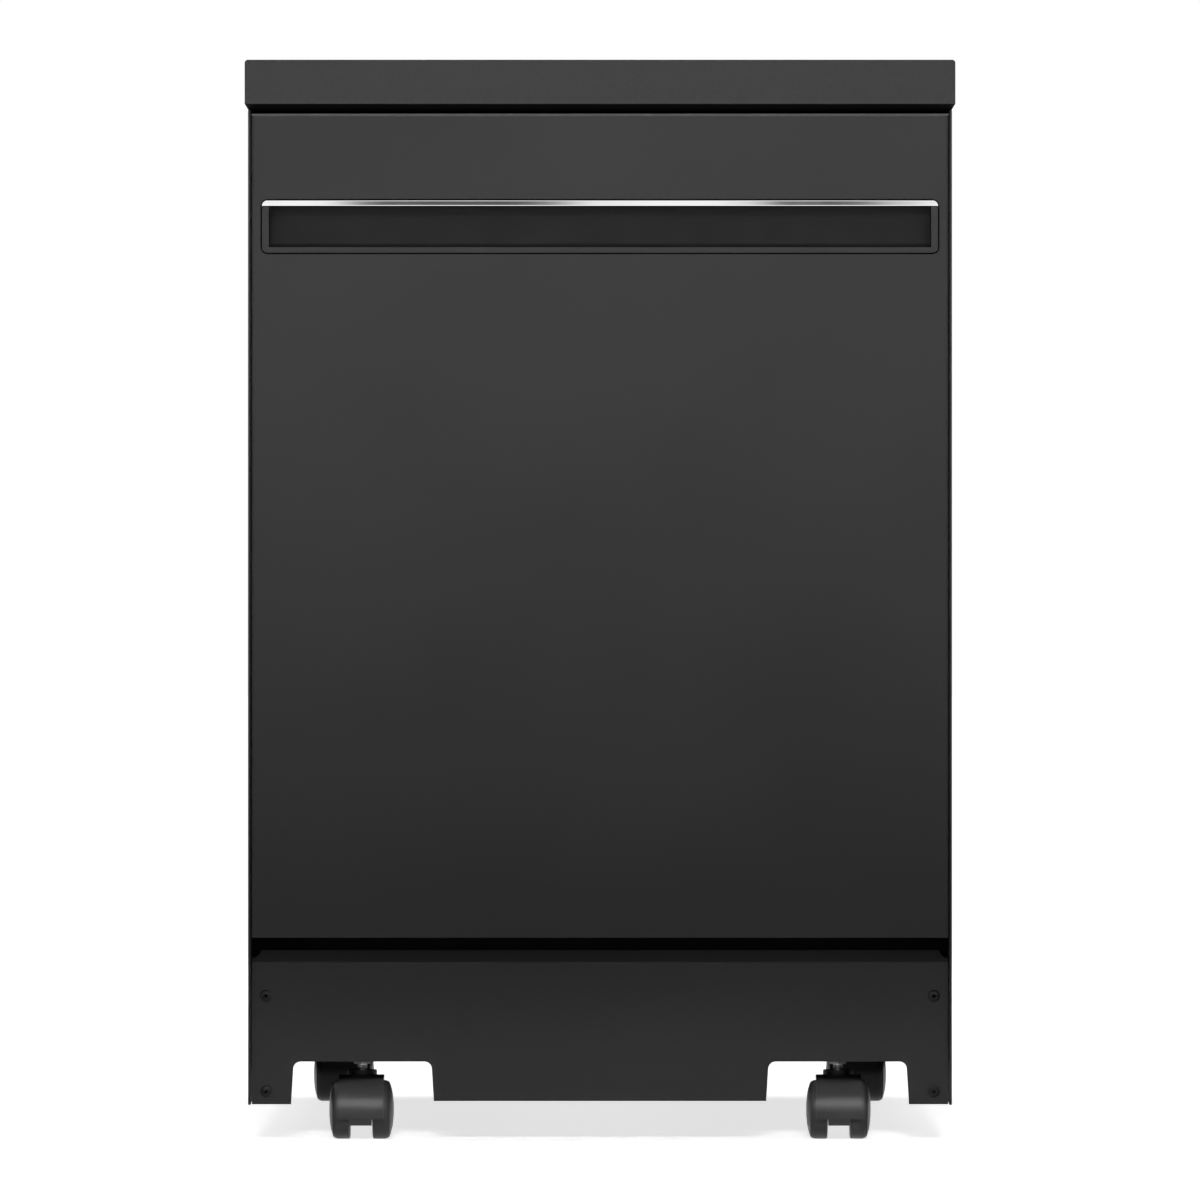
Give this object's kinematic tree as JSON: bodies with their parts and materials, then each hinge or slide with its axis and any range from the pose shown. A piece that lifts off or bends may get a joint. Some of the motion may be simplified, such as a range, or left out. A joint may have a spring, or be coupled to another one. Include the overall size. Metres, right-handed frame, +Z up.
{
  "type": "portable dishwasher",
  "caption": "Free-standing portable dishwasher with a drop-down door, recessed full-width grip, flat worktop, pull-out racks and twin-wheel swivel casters.",
  "frame": {"origin": "on the floor under the middle of the worktop", "axes": "+X to the right as seen from the front, +Y to the back, +Z up; the door faces -Y"},
  "size_m": [0.6096, 0.718, 0.93],
  "materials": {
    "worktop_laminate": "fine-grained matt laminate",
    "black_enamel": "smooth semi-gloss enamel",
    "black_plastic": "satin moulded",
    "bright_trim": "polished",
    "caster_plastic": "satin moulded",
    "galvanised_steel": "zinc plated",
    "stainless": "brushed",
    "rack_coating": "smooth nylon coating",
    "grey_plastic": "satin moulded",
    "white_plastic": "smooth moulded",
    "rubber_seal": "matt",
    "button_plastic": "smooth moulded",
    "indicator_window": "smoked, polished",
    "heater_tube": "heat tinted",
    "counterweight_iron": "as cast",
    "motor_housing": "coated",
    "filter_mesh": "etched sheet"
  },
  "bodies": {
    "cabinet": {"worktop": "worktop_laminate", "left_side_panel": "black_enamel", "right_side_panel": "black_enamel", "back_panel": "black_enamel", "base_frame": "black_enamel", "counterweight": "counterweight_iron", "kick_plate": "black_enamel", "kick_plate_screws": "black_enamel", "caster_stems": "galvanised_steel", "tub": "stainless", "tub_gasket": "rubber_seal", "hinge_brackets": "black_enamel", "door_strike": "galvanised_steel", "sump": "grey_plastic", "filter_basket": "filter_mesh", "heating_element": "heater_tube", "wash_pump": "motor_housing", "drain_pump": "motor_housing", "inlet_valve": "white_plastic", "spray_manifold": "grey_plastic", "top_nozzle": "grey_plastic", "hose_compartment": "black_plastic"},
    "float": {"float_cap": "grey_plastic"},
    "door": {"door_outer_panel": "black_enamel", "control_console": "black_plastic", "indicator_lens": "indicator_window", "handle_pocket": "black_plastic", "handle_trim": "bright_trim", "door_inner_panel": "stainless", "door_bottom_seal": "rubber_seal", "hinge_arms": "galvanised_steel", "latch_housing": "black_plastic", "dispenser_body": "grey_plastic", "vent_cover": "grey_plastic"},
    "dispenser_lid": {"dispenser_lid": "grey_plastic"},
    "rinse_aid_cap": {"rinse_aid_cap": "grey_plastic"},
    "upper_rack": {"upper_rack": "rack_coating", "upper_rack_rails": "stainless", "upper_feed_tube": "grey_plastic"},
    "upper_spray_arm": {"upper_spray_arm": "grey_plastic"},
    "rack_rollers_front": {"rack_rollers_front": "white_plastic"},
    "rack_rollers_rear": {"rack_rollers_rear": "white_plastic"},
    "lower_rack": {"lower_rack": "rack_coating", "silverware_basket": "grey_plastic"},
    "lower_rack_wheels_front": {"lower_rack_wheels_front": "grey_plastic"},
    "lower_rack_wheels_rear": {"lower_rack_wheels_rear": "grey_plastic"},
    "lower_spray_arm": {"lower_spray_arm": "grey_plastic"},
    "button_1": {"button_1": "button_plastic"},
    "button_2": {"button_2": "button_plastic"},
    "button_3": {"button_3": "button_plastic"},
    "button_4": {"button_4": "button_plastic"},
    "button_5": {"button_5": "button_plastic"},
    "caster_front_left": {"caster_front_left_hood": "caster_plastic"},
    "caster_front_left_wheels": {"caster_front_left_wheels": "caster_plastic"},
    "caster_front_right": {"caster_front_right_hood": "caster_plastic"},
    "caster_front_right_wheels": {"caster_front_right_wheels": "caster_plastic"},
    "caster_rear_left": {"caster_rear_left_hood": "caster_plastic"},
    "caster_rear_left_wheels": {"caster_rear_left_wheels": "caster_plastic"},
    "caster_rear_right": {"caster_rear_right_hood": "caster_plastic"},
    "caster_rear_right_wheels": {"caster_rear_right_wheels": "caster_plastic"}
  },
  "joints": [
    {"name": "door_hinge", "type": "hinge", "parent": "cabinet", "child": "door", "pos_m": [0, -0.328, 0.208], "axis": [1, 0, 0], "range_deg": [0, 90], "stiffness_Nm_per_rad": 20},
    {"name": "upper_rack_slide", "type": "slide", "parent": "cabinet", "child": "upper_rack", "axis": [0, -1, 0], "range_m": [0, 0.4]},
    {"name": "lower_rack_slide", "type": "slide", "parent": "cabinet", "child": "lower_rack", "axis": [0, -1, 0], "range_m": [0, 0.46]},
    {"name": "rack_rollers_front_spin", "type": "hinge", "parent": "cabinet", "child": "rack_rollers_front", "pos_m": [0, -0.25, 0.645], "axis": [1, 0, 0], "range_deg": [-5, 2550]},
    {"name": "rack_rollers_rear_spin", "type": "hinge", "parent": "cabinet", "child": "rack_rollers_rear", "pos_m": [0, -0.2, 0.645], "axis": [1, 0, 0], "range_deg": [-5, 2550]},
    {"name": "lower_rack_wheels_front_spin", "type": "hinge", "parent": "lower_rack", "child": "lower_rack_wheels_front", "pos_m": [0, -0.19382, 0.2493], "axis": [1, 0, 0], "range_deg": [-5, 1660]},
    {"name": "lower_rack_wheels_rear_spin", "type": "hinge", "parent": "lower_rack", "child": "lower_rack_wheels_rear", "pos_m": [0, 0.12882, 0.2493], "axis": [1, 0, 0], "range_deg": [-5, 1660]},
    {"name": "upper_spray_arm_spin", "type": "hinge", "parent": "upper_rack", "child": "upper_spray_arm", "pos_m": [0, -0.0385, 0.525], "axis": [0, 0, 1], "continuous": true},
    {"name": "lower_spray_arm_spin", "type": "hinge", "parent": "cabinet", "child": "lower_spray_arm", "pos_m": [0, -0.0385, 0.24], "axis": [0, 0, 1], "continuous": true},
    {"name": "float_slide", "type": "slide", "parent": "cabinet", "child": "float", "axis": [0, 0, 1], "range_m": [0, 0.01]},
    {"name": "dispenser_lid_hinge", "type": "hinge", "parent": "door", "child": "dispenser_lid", "pos_m": [-0.142, -0.298, 0.4735], "axis": [0, 0, 1], "range_deg": [0, 100]},
    {"name": "rinse_aid_cap_turn", "type": "hinge", "parent": "door", "child": "rinse_aid_cap", "pos_m": [-0.006, -0.31, 0.4735], "axis": [0, 1, 0], "range_deg": [0, 90]},
    {"name": "button_1_press", "type": "slide", "parent": "door", "child": "button_1", "axis": [0, 0, -1], "range_m": [0, 0.0012], "stiffness_N_per_m": 500},
    {"name": "button_2_press", "type": "slide", "parent": "door", "child": "button_2", "axis": [0, 0, -1], "range_m": [0, 0.0012], "stiffness_N_per_m": 500},
    {"name": "button_3_press", "type": "slide", "parent": "door", "child": "button_3", "axis": [0, 0, -1], "range_m": [0, 0.0012], "stiffness_N_per_m": 500},
    {"name": "button_4_press", "type": "slide", "parent": "door", "child": "button_4", "axis": [0, 0, -1], "range_m": [0, 0.0012], "stiffness_N_per_m": 500},
    {"name": "button_5_press", "type": "slide", "parent": "door", "child": "button_5", "axis": [0, 0, -1], "range_m": [0, 0.0012], "stiffness_N_per_m": 500},
    {"name": "caster_front_left_swivel", "type": "hinge", "parent": "cabinet", "child": "caster_front_left", "pos_m": [-0.2064, -0.27, 0.05], "axis": [0, 0, 1], "continuous": true},
    {"name": "caster_front_left_roll", "type": "hinge", "parent": "caster_front_left", "child": "caster_front_left_wheels", "pos_m": [-0.2064, -0.29, 0.0254], "axis": [1, 0, 0], "continuous": true},
    {"name": "caster_front_right_swivel", "type": "hinge", "parent": "cabinet", "child": "caster_front_right", "pos_m": [0.2064, -0.27, 0.05], "axis": [0, 0, 1], "continuous": true},
    {"name": "caster_front_right_roll", "type": "hinge", "parent": "caster_front_right", "child": "caster_front_right_wheels", "pos_m": [0.2064, -0.29, 0.0254], "axis": [1, 0, 0], "continuous": true},
    {"name": "caster_rear_left_swivel", "type": "hinge", "parent": "cabinet", "child": "caster_rear_left", "pos_m": [-0.238, 0.275, 0.05], "axis": [0, 0, 1], "continuous": true},
    {"name": "caster_rear_left_roll", "type": "hinge", "parent": "caster_rear_left", "child": "caster_rear_left_wheels", "pos_m": [-0.238, 0.255, 0.0254], "axis": [1, 0, 0], "continuous": true},
    {"name": "caster_rear_right_swivel", "type": "hinge", "parent": "cabinet", "child": "caster_rear_right", "pos_m": [0.238, 0.275, 0.05], "axis": [0, 0, 1], "continuous": true},
    {"name": "caster_rear_right_roll", "type": "hinge", "parent": "caster_rear_right", "child": "caster_rear_right_wheels", "pos_m": [0.238, 0.255, 0.0254], "axis": [1, 0, 0], "continuous": true}
  ],
  "couplings": [
    {"joint": "upper_rack_slide", "follows": "door_hinge", "m_per_rad": 0.25462},
    {"joint": "lower_rack_slide", "follows": "door_hinge", "m_per_rad": 0.08},
    {"joint": "rack_rollers_front_spin", "follows": "door_hinge", "ratio": 28.291},
    {"joint": "lower_rack_wheels_front_spin", "follows": "door_hinge", "ratio": 5},
    {"joint": "rack_rollers_rear_spin", "follows": "door_hinge", "ratio": 28.291},
    {"joint": "lower_rack_wheels_rear_spin", "follows": "door_hinge", "ratio": 5}
  ]
}
